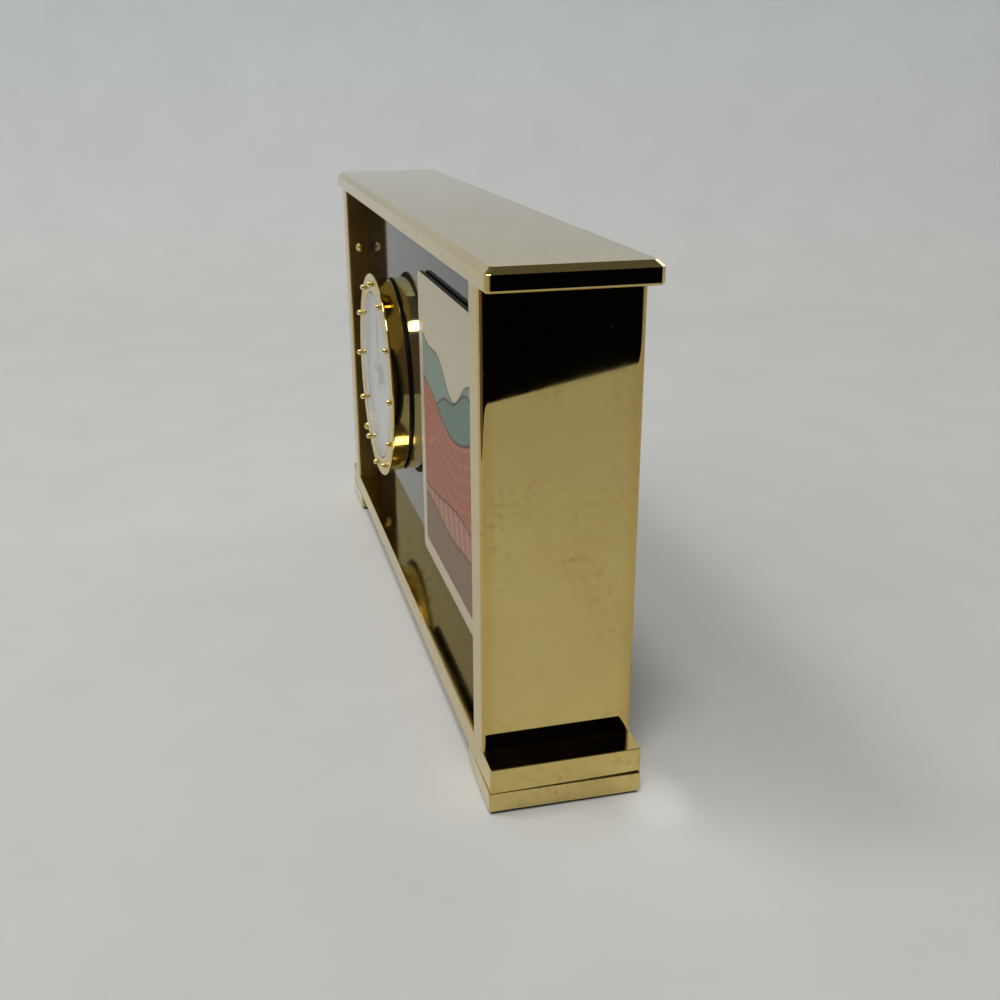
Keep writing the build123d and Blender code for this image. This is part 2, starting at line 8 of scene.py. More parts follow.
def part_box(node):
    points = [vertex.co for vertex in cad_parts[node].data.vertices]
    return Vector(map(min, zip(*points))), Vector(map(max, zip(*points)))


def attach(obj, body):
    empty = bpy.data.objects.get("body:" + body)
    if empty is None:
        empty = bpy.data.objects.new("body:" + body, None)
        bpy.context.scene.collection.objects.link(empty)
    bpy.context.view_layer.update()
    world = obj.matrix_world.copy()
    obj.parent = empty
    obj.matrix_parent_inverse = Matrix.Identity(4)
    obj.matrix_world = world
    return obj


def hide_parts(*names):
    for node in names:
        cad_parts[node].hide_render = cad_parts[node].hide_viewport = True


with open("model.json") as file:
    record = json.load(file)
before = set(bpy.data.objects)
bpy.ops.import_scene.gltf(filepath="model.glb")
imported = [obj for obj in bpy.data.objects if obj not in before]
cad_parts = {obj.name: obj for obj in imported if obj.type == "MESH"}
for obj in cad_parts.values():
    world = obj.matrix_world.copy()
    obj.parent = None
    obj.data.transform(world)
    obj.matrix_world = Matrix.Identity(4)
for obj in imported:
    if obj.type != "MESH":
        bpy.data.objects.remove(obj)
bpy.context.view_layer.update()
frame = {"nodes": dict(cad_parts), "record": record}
nodes = frame["nodes"]

MM = 0.001
X_AXIS, Y_AXIS, Z_AXIS = range(3)

# Places and turns that pieces share, the turns in degrees
CLOCK_X = -31.0 * MM
CLOCK_Z = 43.25 * MM
DRUM_FRONT_MM = -11.75
INSERT_TURN = 1.9
SIDE_MIDDLE = 66.9 * MM
FOOT_TURN = -1.05

# Points nearer than this, in metres, count as one
TOUCHING = 0.000002

# Sockets of a Mix node that mixes colours
MIX_COLORS = (6, 7)
MIX_RESULT = 2

# Relief of fine grain in metres, and the pace of polishing lines across and along their run
FINE_RELIEF = 0.00002
LINES_ACROSS = 900.0
LINES_ALONG = 18.0


# Node helpers for the finishes and the room

class Graph:
    """Short calls that make and join the nodes of one tree."""

    def __init__(self, tree):
        self.tree = tree

    def node(self, kind, **settings):
        made = self.tree.nodes.new(kind)
        for key, value in settings.items():
            setattr(made, key, value)
        return made

    def set(self, node, socket, value):
        """Join an output to a socket, or put a plain value in it."""
        if hasattr(value, "is_linked"):
            self.tree.links.new(value, node.inputs[socket])
        else:
            node.inputs[socket].default_value = value

    def fill(self, node, values):
        for socket, value in values.items():
            self.set(node, socket, value)

    def math(self, operation, *values):
        made = self.node("ShaderNodeMath", operation=operation)
        self.fill(made, dict(enumerate(values)))
        return made.outputs[0]

    def spread(self, value, low, high, new_low=0.0, new_high=1.0, **settings):
        """Move the range from low to high onto a new one."""
        made = self.node("ShaderNodeMapRange", **settings)
        self.fill(made, {"Value": value, "From Min": low, "From Max": high})
        self.fill(made, {"To Min": new_low, "To Max": new_high})
        return made.outputs[0]

    def mix(self, share, first, second, blend="MIX"):
        """Mix two colours, each an output or a plain colour."""
        made = self.node("ShaderNodeMix", data_type="RGBA", blend_type=blend)
        self.set(made, 0, share)
        for socket, value in zip(MIX_COLORS, (first, second)):
            self.set(made, socket, value if hasattr(value, "is_linked") else (*value, 1.0))
        return made.outputs[MIX_RESULT]

    def axes(self, place):
        """The X, Y and Z outputs of a place."""
        split = self.node("ShaderNodeSeparateXYZ")
        self.set(split, 0, place)
        return split.outputs


class Finish(Graph):
    """A material under construction, with its shader and the place on the piece."""

    def __init__(self, name, color, roughness, metallic=0.0):
        self.material = bpy.data.materials.new(name)
        self.material.use_nodes = True
        super().__init__(self.material.node_tree)
        self.shader = self.tree.nodes["Principled BSDF"]
        self.color((*color, 1.0))
        self.rough(roughness)
        self.set(self.shader, "Metallic", metallic)
        self.place = self.node("ShaderNodeTexCoord").outputs["Object"]

    def color(self, value):
        self.set(self.shader, "Base Color", value)

    def rough(self, value):
        self.set(self.shader, "Roughness", value)

    def noise(self, scale, detail=3.0, roughness=0.5, stretch=(1, 1, 1), shift=(0, 0, 0)):
        mapped = self.node("ShaderNodeMapping")
        self.fill(mapped, {"Vector": self.place, "Scale": stretch, "Location": shift})
        made = self.node("ShaderNodeTexNoise")
        self.fill(made, {"Vector": mapped.outputs[0], "Scale": scale})
        self.fill(made, {"Detail": detail, "Roughness": roughness})
        return made.outputs["Fac"]

    def bump(self, height, strength, distance=FINE_RELIEF):
        made = self.node("ShaderNodeBump")
        self.fill(made, {"Height": height, "Strength": strength, "Distance": distance})
        self.set(self.shader, "Normal", made.outputs[0])


def tinted(color, red, green, blue):
    """A colour with each part scaled."""
    return (color[0] * red, color[1] * green, color[2] * blue)


# Finishes

def polished_gold(name, color, roughness, polish_axis, lacquer=0.0, wear=0.55, painted_edge_reflection=0.0):
    """Lacquered gold: mirror polish, faint clouds, tarnish freckles, hairlines, painted darker reflection
    on long edges.
    """
    gold = Finish(name, color, roughness, 1.0)
    clouds = gold.spread(gold.noise(70, 4.0, 0.55), 0.35, 0.75, 0.0, 0.35)
    base = gold.mix(clouds, color, tinted(color, 0.86, 0.8, 0.66))
    # Painted reflection: the long front and back edges are tinted to a deeper, darker gold, in place of a
    # rolled edge mirroring a darker zone.
    if painted_edge_reflection:
        from_middle = gold.math("ABSOLUTE", gold.axes(gold.place)["Y"])
        edges = gold.spread(from_middle, 9.7 * MM, 11.2 * MM, 0.0, painted_edge_reflection)
        base = gold.mix(edges, base, tinted(color, 0.9, 0.8, 0.58))
    freckles = gold.spread(gold.noise(700, 5.0, 0.65, shift=(0.3, 0.1, 0.2)), 0.5, 0.68)
    patches = gold.spread(gold.noise(45, 3.0, 0.55, shift=(0.7, 0.4, 0.1)), 0.42, 0.62)
    worn = gold.math("MULTIPLY", gold.math("MULTIPLY", freckles, patches), wear)
    gold.color(gold.mix(worn, base, tinted(color, 0.64, 0.53, 0.39)))
    smear = gold.noise(120, 5.0, 0.6, stretch=(0.5, 1.0, 0.6))
    polish = gold.spread(smear, 0.35, 0.75, roughness * 0.7, roughness * 1.7)
    dust = gold.spread(gold.noise(1100, 2.0, 0.6, shift=(0.2, 0.6, 0.5)), 0.68, 0.76, 0.0, 0.14)
    gold.rough(gold.math("ADD", polish, gold.math("MULTIPLY", dust, patches)))
    hairlines = [LINES_ACROSS] * 3
    hairlines[polish_axis] = LINES_ALONG
    gold.bump(gold.noise(1.0, 2.0, 0.5, stretch=tuple(hairlines)), 0.035)
    gold.fill(gold.shader, {"Coat Weight": lacquer, "Coat Roughness": 0.02})
    return gold.material


def gloss_black():
    """Polished black sheet with a few dust motes and wiping marks."""
    sheet, mote = (0.008, 0.008, 0.009), (0.22, 0.21, 0.19)
    black = Finish("gloss_black_sheet", sheet, 0.045)
    motes = black.spread(black.noise(1500, 1.0, 0.4), 0.76, 0.8)
    black.color(black.mix(black.math("MULTIPLY", motes, 0.35), sheet, mote))
    wipes = black.noise(60, 4.0, 0.6, stretch=(0.25, 1.0, 1.0))
    black.rough(black.spread(wipes, 0.35, 0.75, 0.035, 0.085))
    return black.material


def moulded_black(name, color, grain):
    """Black moulded plastic with a fine spark-eroded grain."""
    plastic = Finish(name, color, 0.45)
    lighter = tuple(c * 1.9 + 0.004 for c in color)
    tone = plastic.spread(plastic.noise(300, 2.0), 0.4, 0.8, 0.0, 0.5)
    plastic.color(plastic.mix(tone, color, lighter))
    plastic.rough(plastic.spread(plastic.noise(180, 3.0), 0.3, 0.7, 0.38, 0.56))
    plastic.bump(plastic.noise(grain, 2.0), 0.25, 2 * FINE_RELIEF)
    return plastic.material


def turned_metal(name, color, roughness):
    """Plain turned or stamped metal with a fine tooth."""
    metal = Finish(name, color, roughness, 1.0)
    tone = metal.spread(metal.noise(500, 3.0), 0.4, 0.75, 0.0, 0.6)
    metal.color(metal.mix(tone, color, tinted(color, 0.7, 0.7, 0.7)))
    metal.rough(metal.spread(metal.noise(900, 2.0), 0.3, 0.7, roughness * 0.8, roughness * 1.3))
    metal.bump(metal.noise(2500, 1.0), 0.12)
    return metal.material


def pressed_felt():
    """Short black felt."""
    root, tip = (0.006, 0.006, 0.006), (0.035, 0.034, 0.033)
    felt = Finish("black_felt", (0.012, 0.012, 0.012), 0.95)
    fibres = felt.noise(3800, 4.0, 0.7)
    felt.color(felt.mix(felt.spread(fibres, 0.4, 0.75), root, tip))
    felt.set(felt.shader, "Sheen Weight", 0.3)
    felt.bump(fibres, 0.8, 10 * FINE_RELIEF)
    return felt.material


def dial_white():
    """Matt white dial with a soft silk to the paint."""
    white = Finish("white_dial_paint", (0.8, 0.8, 0.785), 0.42)
    silk = white.noise(900, 3.0)
    white.color(white.mix(white.spread(silk, 0.35, 0.7), (0.82, 0.82, 0.81), (0.76, 0.76, 0.745)))
    white.bump(silk, 0.05)
    return white.material


def clear_glass():
    """Clear window, smooth but for a faint unevenness."""
    glass = Finish("clear_crystal", (1.0, 1.0, 1.0), 0.0)
    glass.fill(glass.shader, {"Transmission Weight": 1.0, "IOR": 1.47})
    glass.rough(glass.spread(glass.noise(140, 3.0), 0.4, 0.8, 0.0, 0.025))
    return glass.material


def painted(name, color, roughness):
    """Thin paint or enamel with a little unevenness."""
    paint = Finish(name, color, roughness)
    cloud = paint.spread(paint.noise(600, 3.0), 0.35, 0.7)
    paint.color(paint.mix(cloud, color, tinted(color, 0.82, 0.82, 0.82)))
    paint.bump(paint.noise(1600, 2.0), 0.08)
    return paint.material


def wound_copper():
    """Enamelled wire, turn beside turn across the coil."""
    wire = Finish("coil_wire", (0.5, 0.2, 0.08), 0.3, 0.8)
    rows = wire.node("ShaderNodeTexWave", wave_type="BANDS", bands_direction="X")
    wire.fill(rows, {"Vector": wire.place, "Scale": 1600.0})
    wire.color(wire.mix(rows.outputs["Fac"], (0.28, 0.09, 0.03), (0.6, 0.26, 0.1)))
    wire.bump(rows.outputs["Fac"], 0.6, 5 * FINE_RELIEF)
    return wire.material


def picture_print(low, high):
    """Landscape in flat inks on a pale gold plate, which stays bare as the sky and the margin."""
    bare, line = (0.53, 0.46, 0.315), (0.05, 0.045, 0.04)
    teal, pale_teal = (0.14, 0.2, 0.165), (0.21, 0.265, 0.22)
    red, pale_red = (0.33, 0.13, 0.085), (0.36, 0.17, 0.12)
    mauve, pale_mauve = (0.18, 0.115, 0.075), (0.36, 0.3, 0.23)
    line_width, margin, taller = 0.006, 0.43, 0.012
    ink = Finish("landscape_print", bare, 0.32)
    place = ink.axes(ink.place)
    u = ink.spread(place["X"], low.x, high.x)
    v = ink.spread(place["Z"], low.z, high.z)

    def skyline(base, *terms):
        """Height of a skyline over u, from a base and (size, pace, start) terms."""
        total = base
        for size, pace, start in terms:
            angle = ink.math("MULTIPLY_ADD", u, pace, start)
            total = ink.math("MULTIPLY_ADD", ink.math("SINE", angle), size, total)
        return total

    def below(height, softness=0.004):
        depth = ink.math("SUBTRACT", height, v)
        return ink.spread(depth, -softness, softness)

    def edged(picture, height, color):
        """A band of colour below a skyline, with a thin dark outline on it."""
        picture = ink.mix(below(ink.math("ADD", height, line_width)), picture, line)
        return ink.mix(below(height), picture, color)

    def stripes(pace, across, slant, low_tone, high_tone):
        """Two inks in turn along a slanting direction."""
        angle = ink.math("MULTIPLY_ADD", across, pace, ink.math("MULTIPLY", slant, pace * 0.4))
        turn = ink.spread(ink.math("SINE", angle), 0.55, 0.8, 0.0, 0.8)
        return ink.mix(turn, low_tone, high_tone)

    def from_middle(value):
        return ink.math("ABSOLUTE", ink.math("SUBTRACT", value, 0.5))

    far_hills = skyline(0.75, (0.05, 7.0, 0.6), (0.022, 15.0, 2.0))
    near_hills = skyline(0.67, (0.06, 5.2, 3.4), (0.015, 17.0, 0.4))
    fields = skyline(0.60, (0.045, 6.1, 1.2))
    low_fields = skyline(0.30, (0.03, 5.0, 4.2))
    water = skyline(0.22, (0.012, 9.0, 0.0))
    picture = edged(bare, far_hills, pale_teal)
    picture = edged(picture, near_hills, teal)
    furrows = stripes(130.0, ink.math("SUBTRACT", fields, v), 0.0, red, pale_red)
    picture = edged(picture, fields, furrows)
    picture = edged(picture, low_fields, stripes(70.0, u, v, pale_red, pale_mauve))
    picture = edged(picture, water, stripes(260.0, v, u, mauve, pale_mauve))

    reach = ink.math("MAXIMUM", from_middle(u), ink.math("SUBTRACT", from_middle(v), taller))
    inside = ink.spread(reach, margin, margin + 0.004, 1.0, 0.0)
    inked = ink.math("MULTIPLY", below(ink.math("ADD", far_hills, line_width)), inside)
    screen = ink.spread(ink.noise(2600, 2.0, 0.6), 0.4, 0.7, 0.0, 0.15)
    ink.color(ink.mix(inked, bare, ink.mix(screen, picture, pale_mauve)))
    ink.set(ink.shader, "Metallic", ink.spread(inked, 0.0, 1.0, 0.55, 0.0))
    ink.set(ink.shader, "Specular IOR Level", 0.01)
    haze = ink.spread(ink.noise(300, 3.0), 0.3, 0.7, 0.09, 0.16)
    ink.rough(ink.math("MULTIPLY_ADD", inked, 0.2, haze))
    return ink.material


GOLD = (0.68, 0.53, 0.195)
FRAME_GOLD = polished_gold("frame_gold", GOLD, 0.028, X_AXIS, lacquer=0.45, wear=0.65)
# Plate gold carries the painted reflection that darkens its long edges.
PLATE_GOLD = polished_gold("plate_gold", GOLD, 0.028, Z_AXIS, lacquer=0.3, wear=0.65, painted_edge_reflection=0.6)
BASE_GOLD = polished_gold("base_gold", GOLD, 0.08, X_AXIS, lacquer=0.1, wear=0.65)
# Painted shade: the inner faces of the side plates get a much darker, rough gold in place of the dark
# room they mirror.
INNER_GOLD_PAINTED_SHADE = polished_gold("inner_satin_gold_painted_shade", (0.2, 0.14, 0.045), 0.42, Z_AXIS, wear=0.8)
TRIM_GOLD = polished_gold("drum_gold", (0.73, 0.59, 0.235), 0.07, Y_AXIS)
STUD_GOLD = polished_gold("stud_gold", (0.9, 0.7, 0.27), 0.36, Y_AXIS)
PIP_GOLD = polished_gold("pip_gold", (0.86, 0.74, 0.38), 0.2, Y_AXIS)
BEZEL_GOLD = polished_gold("bezel_gold", (0.74, 0.6, 0.3), 0.3, Y_AXIS)
BLACK_MOULDED = moulded_black("black_moulded", (0.016, 0.016, 0.017), 2600)
BLACK_RUBBER = moulded_black("black_rubber", (0.01, 0.01, 0.01), 1500)
STEEL = turned_metal("plain_steel", (0.56, 0.56, 0.57), 0.28)
GLASS = clear_glass()

SLOT_FINISH = {
    "gold_frame": FRAME_GOLD,
    "gold_trim": TRIM_GOLD,
    "black_felt": pressed_felt(),
    "steel": STEEL,
    "spacer_metal": turned_metal("spacer_aluminium", (0.72, 0.72, 0.73), 0.3),
    "black_gloss": gloss_black(),
    "black_matt": BLACK_MOULDED,
    "knob_black": BLACK_MOULDED,
    "gasket_black": BLACK_RUBBER,
    "picture_print": painted("plate_back", (0.02, 0.02, 0.02), 0.4),
    "pad_foam": BLACK_RUBBER,
    "clear_crystal": GLASS,
    "white_dial": dial_white(),
    "hand_black": painted("hand_black", (0.012, 0.012, 0.013), 0.3),
    "movement_brass": turned_metal("movement_brass", (0.72, 0.54, 0.24), 0.25),
    "arbor_steel": STEEL,
    "drive_white": painted("drive_white", (0.68, 0.68, 0.66), 0.4),
    "coil_copper": wound_copper(),
    "stator_iron": turned_metal("stator_iron", (0.42, 0.42, 0.43), 0.4),
    "board_green": painted("board_green", (0.02, 0.13, 0.05), 0.35),
    "chip_black": moulded_black("chip_black", (0.012, 0.012, 0.012), 2200),
    "can_metal": turned_metal("can_metal", (0.66, 0.66, 0.66), 0.2),
    "contact_metal": turned_metal("contact_metal", (0.64, 0.6, 0.52), 0.3),
}
slot_of = {entry["node"]: entry["material_slot"] for entry in frame["record"]["subparts"]}
for node_name, node_object in nodes.items():
    node_object.data.materials.clear()
    node_object.data.materials.append(SLOT_FINISH[slot_of[node_name]])


# Modelling helpers

def deselect():
    bpy.ops.object.select_all(action="DESELECT")


def focus(piece):
    """Select one piece alone and make it active."""
    deselect()
    piece.select_set(True)
    bpy.context.view_layer.objects.active = piece


def enter_edit():
    bpy.ops.object.mode_set(mode="EDIT")


def leave_edit():
    bpy.ops.object.mode_set(mode="OBJECT")


def apply_place():
    """Move the place, turn and scale of the new object into its mesh."""
    bpy.ops.object.transform_apply(location=True, rotation=True, scale=True)


def name_active(name, finish):
    piece = bpy.context.object
    piece.name = name
    piece.data.name = name
    piece.data.materials.clear()
    piece.data.materials.append(finish)
    return piece


def clear_picks(piece, kind):
    """Set what edit mode picks on a piece, with nothing picked yet."""
    focus(piece)
    enter_edit()
    bpy.ops.mesh.select_mode(type=kind)
    bpy.ops.mesh.select_all(action="DESELECT")
    leave_edit()


def pick_points(piece, test):
    """Edit mode with the points selected that pass a test on their place."""
    clear_picks(piece, "VERT")
    for point in piece.data.vertices:
        point.select = test(point.co)
    enter_edit()


def pick_edges(piece, test):
    """Edit mode with the edges selected that pass a test on their two ends."""
    clear_picks(piece, "EDGE")
    points = piece.data.vertices
    for edge in piece.data.edges:
        first, second = edge.vertices
        edge.select = test(points[first].co, points[second].co)
    enter_edit()


def pick_faces(piece, test):
    """Edit mode with the faces selected that pass a test."""
    clear_picks(piece, "FACE")
    for face in piece.data.polygons:
        face.select = test(face)
    enter_edit()


def along(axis):
    """Test for edges that run along one axis."""
    def test(a, b):
        step = a - b
        return abs(step[axis]) > 0.98 * step.length
    return test


def bevel_edges(piece, test, size, segments, profile=0.5):
    """Bevel the edges that pass a test."""
    pick_edges(piece, test)
    bpy.ops.mesh.bevel(offset=size, segments=segments, profile=profile, affect="EDGES")
    leave_edit()


def extrude_edges(move):
    bpy.ops.mesh.extrude_edges_move(TRANSFORM_OT_translate={"value": move})


def apply_modifier(piece, modifier):
    focus(piece)
    bpy.ops.object.modifier_apply(modifier=modifier.name)


def smooth(piece, angle=40):
    """Smooth shading that keeps broad faces flat to their edges."""
    focus(piece)
    bpy.ops.object.shade_smooth_by_angle(angle=radians(angle))
    flat = piece.modifiers.new("flat", "WEIGHTED_NORMAL")
    flat.weight = 100
    flat.keep_sharp = True
    apply_modifier(piece, flat)


def soften(piece, width, segments=2, angle=30):
    """Bevel on what is still sharp, then smooth shading."""
    bevel = piece.modifiers.new("edge", "BEVEL")
    bevel.width = width
    bevel.segments = segments
    bevel.limit_method = "ANGLE"
    bevel.angle_limit = radians(angle)
    bevel.harden_normals = False
    apply_modifier(piece, bevel)
    smooth(piece)


def finish_faces(piece, finish, test):
    """A second finish on the faces that pass a test."""
    piece.data.materials.append(finish)
    for face in piece.data.polygons:
        face.material_index = 1 if test(face) else 0


def faces_front(face):
    return face.normal.y < -0.9


def settle(piece, body, replaced):
    """Give a piece its body, in place of the node it stands for, which is hidden."""
    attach(piece, body)
    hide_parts(replaced)


def cube(name, low, high, finish):
    """Block between two corners."""
    deselect()
    middle = (Vector(low) + Vector(high)) / 2
    bpy.ops.mesh.primitive_cube_add(size=1, location=middle, scale=Vector(high) - Vector(low))
    apply_place()
    return name_active(name, finish)


def cylinder(name, radius, low, high, steps, finish):
    """Cylinder from front to back through the middle of a box."""
    deselect()
    bpy.ops.mesh.primitive_cylinder_add(
        vertices=steps,
        radius=radius,
        depth=high.y - low.y,
        location=(low + high) / 2,
        rotation=(pi / 2, 0, 0),
    )
    apply_place()
    return name_active(name, finish)


def cut_ball(name, radius, middle, cut_normal, cleared, finish):
    """Ball cut flat at the origin; cleared names the side of the cut that goes."""
    deselect()
    bpy.ops.mesh.primitive_uv_sphere_add(segments=32, ring_count=24, radius=radius, location=middle)
    apply_place()
    piece = name_active(name, finish)
    pick_faces(piece, lambda face: True)
    bpy.ops.mesh.bisect(
        plane_co=(0, 0, 0), plane_no=cut_normal, threshold=TOUCHING, use_fill=True, **{cleared: True}
    )
    leave_edit()
    smooth(piece, 50)
    return piece


def dome(name, radius, height, finish):
    """Dome that rises along +Z from the origin, its sizes in mm."""
    ball = (radius**2 + height**2) / (2 * height)
    middle = (0, 0, (height - ball) * MM)
    return cut_ball(name, ball * MM, middle, (0, 0, 1), "clear_inner", finish)


def turned(name, outline, finish, steps):
    """Ring turned about the axis of the clock, from a closed outline of (radius, y) in mm."""
    deselect()
    radius, y = outline[0]
    bpy.ops.mesh.primitive_circle_add(
        vertices=steps,
        radius=radius * MM,
        location=(CLOCK_X, y * MM, CLOCK_Z),
        rotation=(pi / 2, 0, 0),
        fill_type="NOTHING",
    )
    apply_place()
    piece = name_active(name, finish)
    enter_edit()
    bpy.ops.mesh.select_mode(type="EDGE")
    bpy.ops.mesh.select_all(action="SELECT")
    for new_radius, new_y in outline[1:] + outline[:1]:
        extrude_edges((0, (new_y - y) * MM, 0))
        grow = new_radius / radius
        centre = (CLOCK_X, new_y * MM, CLOCK_Z)
        bpy.ops.transform.resize(value=(grow, 1, grow), center_override=centre)
        radius, y = new_radius, new_y
    bpy.ops.mesh.select_all(action="SELECT")
    bpy.ops.mesh.remove_doubles(threshold=TOUCHING)
    bpy.ops.mesh.normals_make_consistent(inside=False)
    leave_edit()
    smooth(piece, 32)
    return piece


def arc(radius, y, size, start, stop, steps=5):
    """Points of a rounded corner in an outline."""
    angles = [radians(start + (stop - start) * index / steps) for index in range(steps + 1)]
    return [(radius + size * cos(angle), y + size * sin(angle)) for angle in angles]


def copies(piece, places):
    """The piece copied to each place, and all of them joined."""
    made = []
    for place in places:
        focus(piece)
        bpy.ops.object.duplicate(linked=False)
        copy = bpy.context.object
        copy.data.transform(place)
        made.append(copy)
    name = piece.name
    finish = piece.data.materials[0]
    bpy.data.objects.remove(piece)
    deselect()
    for copy in made:
        copy.select_set(True)
    bpy.context.view_layer.objects.active = made[0]
    bpy.ops.object.join()
    return name_active(name, finish)


# Gold frame

def make_cap():
    low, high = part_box("top_cap")
    slope = 0.95 * MM
    size = high - low
    cap = cube("cap", low, (high.x, high.y, high.z - slope), FRAME_GOLD)
    pick_faces(cap, lambda face: face.normal.z > 0.9)
    bpy.ops.mesh.extrude_region_move(TRANSFORM_OT_translate={"value": (0, 0, slope)})
    shrink = (1 - 2 * slope / size.x, 1 - 2 * slope / size.y, 1)
    bpy.ops.transform.resize(value=shrink, center_override=(low + high) / 2)
    leave_edit()
    bevel_edges(cap, lambda a, b: abs(a.z - b.z) > 0.5 * MM, 0.6 * MM, 1)
    bevel_edges(cap, lambda a, b: max(a.z, b.z) < low.z + 0.01 * MM, 0.4 * MM, 3)
    soften(cap, 0.1 * MM)
    smooth(cap, 20)
    settle(cap, "clock", "top_cap")


def make_side_plates():
    for side, inward in (("left", 1), ("right", -1)):
        node = side + "_side_plate"
        plate = cube(side + "_upright", *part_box(node), PLATE_GOLD)
        bevel_edges(plate, along(Z_AXIS), 1.4 * MM, 12, profile=0.8)
        soften(plate, 0.08 * MM)
        # The inner faces take the darker gold, which is painted shade.
        finish_faces(plate, INNER_GOLD_PAINTED_SHADE, lambda face: face.normal.x * inward > 0.98)
        settle(plate, "clock", node)


def bar(name, low, high, finish):
    """Bar with small roundings at its corners and edges."""
    piece = cube(name, low, high, finish)
    bevel_edges(piece, along(Z_AXIS), 0.3 * MM, 4)
    soften(piece, 0.14 * MM, 3)
    return piece


def make_base():
    base = bar("base_bar", *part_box("base_plate"), BASE_GOLD)
    settle(base, "clock", "base_plate")


def make_feet():
    """Two foot bars; the right one stands a little askew about its bolt."""
    inner, outer, depth = 60.4 * MM, 75.2 * MM, 12.3 * MM
    felt_top, foot_top = 0.5 * MM, 3.8 * MM
    bolt = Vector((SIDE_MIDDLE, 0, 0))
    turn = Matrix.Rotation(radians(FOOT_TURN), 4, "Z")
    for end, side in ((-1, "left"), (1, "right")):
        x0, x1 = sorted((end * inner, end * outer))
        foot = bar(side + "_foot_bar", (x0, -depth, felt_top), (x1, depth, foot_top), FRAME_GOLD)
        if side == "right":
            foot.data.transform(Matrix.Translation(bolt) @ turn @ Matrix.Translation(-bolt))
        settle(foot, "clock", side + "_foot")


def make_studs():
    stud = dome("side_pips", 1.15, 1.0, STUD_GOLD)
    inner_face = 63.8 * MM
    places = []
    for end in (-1, 1):
        sideways = Matrix.Rotation(-end * pi / 2, 4, "Y")
        for y in (-9.4 * MM, 9.55 * MM):
            for z in (21.5 * MM, 67.0 * MM):
                places.append(Matrix.Translation((end * inner_face, y, z)) @ sideways)
    settle(copies(stud, places), "clock", "side_studs")


# Drum, dial window and picture

def make_drum():
    front, back = DRUM_FRONT_MM, -7.7
    window, cavity = 18.6, 20.5
    outline = [(window, front + 0.14), (window + 0.14, front)]
    outline += arc(22.3, front + 0.3, 0.3, -90, 0)
    outline += arc(22.4, front + 0.4, 0.2, 0, 90)
    outline += [(21.6, front + 0.6), (21.5, front + 0.7)]
    outline += arc(21.2, back - 0.3, 0.3, 0, 90)
    outline += [(cavity, back), (cavity, front + 0.9), (window, front + 0.9)]
    drum = turned("drum_shell", outline, TRIM_GOLD, 192)
    finish_faces(drum, BEZEL_GOLD, faces_front)
    settle(drum, "clock", "drum_case")


def make_hour_balls():
    ring = 20.6 * MM
    ball = cut_ball("hour_pips", 0.67 * MM, (0, -0.525 * MM, 0), (0, 1, 0), "clear_outer", PIP_GOLD)
    places = []
    for hour in range(12):
        angle = radians(30 * hour + INSERT_TURN)
        x, z = CLOCK_X + ring * sin(angle), CLOCK_Z + ring * cos(angle)
        places.append(Matrix.Translation((x, DRUM_FRONT_MM * MM, z)))
    settle(copies(ball, places), "clock", "hour_balls")


def make_crystal():
    low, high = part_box("crystal")
    window = cylinder("dial_window", 18.55 * MM, low, high, 160, GLASS)
    bevel_edges(window, lambda a, b: max(a.y, b.y) < low.y + 0.01 * MM, 0.22 * MM, 2)
    smooth(window, 32)
    settle(window, "clock", "crystal")


def make_picture():
    low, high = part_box("picture_plate")
    edge_black = painted("plate_edge_black", (0.015, 0.015, 0.015), 0.4)
    plate = cube("picture_card", low, high, edge_black)
    bevel_edges(plate, along(Y_AXIS), 1.5 * MM, 8)
    soften(plate, 0.06 * MM)
    finish_faces(plate, picture_print(low, high), faces_front)
    settle(plate, "clock", "picture_plate")


# Rear

def make_rear_screws():
    """Slotted dome screws at the corners of the rear panel, each slot at its own turn."""
    head, rear_face = 2.3, 7.55 * MM
    screw = dome("rear_dome_screws", head, 1.4, STEEL)
    slot = cube("slot_cutter", (-3 * MM, -0.3 * MM, 0.7 * MM), (3 * MM, 0.3 * MM, 3 * MM), STEEL)
    cut = screw.modifiers.new("slot", "BOOLEAN")
    cut.operation = "DIFFERENCE"
    cut.object = slot
    cut.solver = "EXACT"
    apply_modifier(screw, cut)
    bpy.data.objects.remove(slot)
    low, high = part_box("rear_screws")
    reach = head * MM
    places = []
    for x in (low.x + reach, high.x - reach):
        for z in (low.z + reach, high.z - reach):
            slot_turn = Matrix.Rotation(radians(25 + 50 * len(places)), 4, "Z")
            backwards = Matrix.Rotation(-pi / 2, 4, "X")
            places.append(Matrix.Translation((x, rear_face, z)) @ backwards @ slot_turn)
    settle(copies(screw, places), "clock", "rear_screws")


def make_knob():
    """Setting knob with grooves round it and a dished end."""
    low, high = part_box("set_knob")
    middle = (low + high) / 2
    steps, groove_every, groove_size = 60, 3, 0.93
    knob = cylinder("setting_knob", 4.0 * MM, low, high, steps, BLACK_MOULDED)

    def in_groove(point):
        turn = Vector((point.x - middle.x, point.z - middle.z)).angle_signed(Vector((1, 0)))
        return round(turn / radians(360 / steps)) % groove_every == 0

    pick_points(knob, in_groove)
    bpy.ops.transform.resize(value=(groove_size, 1, groove_size), center_override=middle)
    leave_edit()
    pick_faces(knob, lambda face: face.normal.y > 0.9)
    bpy.ops.mesh.inset(thickness=0.9 * MM, depth=0)
    bpy.ops.mesh.inset(thickness=0.25 * MM, depth=-0.35 * MM)
    leave_edit()
    soften(knob, 0.12 * MM, angle=50)
    settle(knob, "setting", "set_knob")


make_cap()
make_side_plates()
make_base()
make_feet()
make_studs()
make_drum()
make_hour_balls()
make_crystal()
make_picture()
make_rear_screws()
make_knob()


# Stage, light and camera

